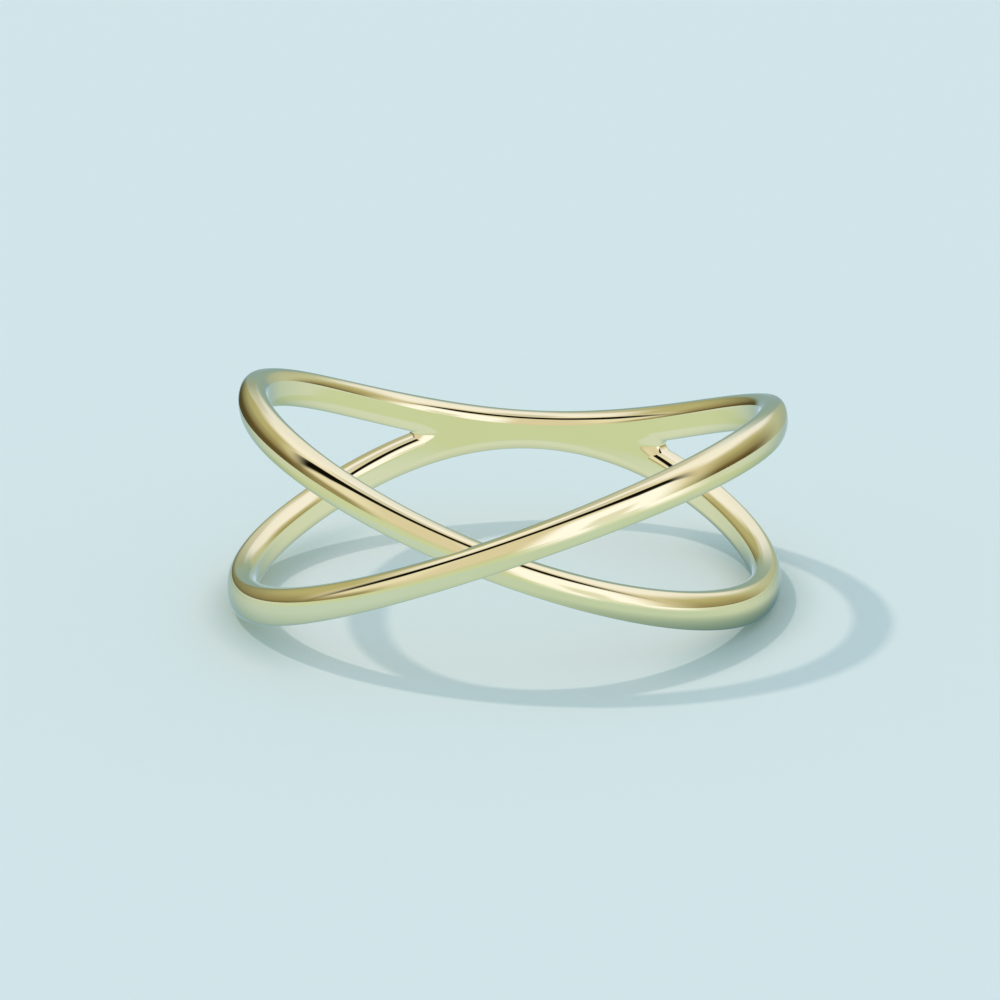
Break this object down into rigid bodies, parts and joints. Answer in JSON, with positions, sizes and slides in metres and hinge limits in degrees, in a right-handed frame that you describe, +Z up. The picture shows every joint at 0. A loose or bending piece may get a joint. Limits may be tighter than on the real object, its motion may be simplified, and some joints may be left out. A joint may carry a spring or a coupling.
{
  "type": "crossover ring",
  "caption": "Plain gold-coloured finger ring: slim domed strands cross at the front, open into loops at both sides and join at the back.",
  "frame": {"origin": "on the surface that the ring lies on, under the middle of the finger hole", "axes": "+Z up along the finger hole, the crossing faces -Y, +X to the right as seen from the crossing"},
  "size_m": [0.0197, 0.0196, 0.0081],
  "materials": {
    "gold_plate": "mirror polished"
  },
  "bodies": {
    "root": {"ring": "gold_plate"}
  },
  "joints": []
}
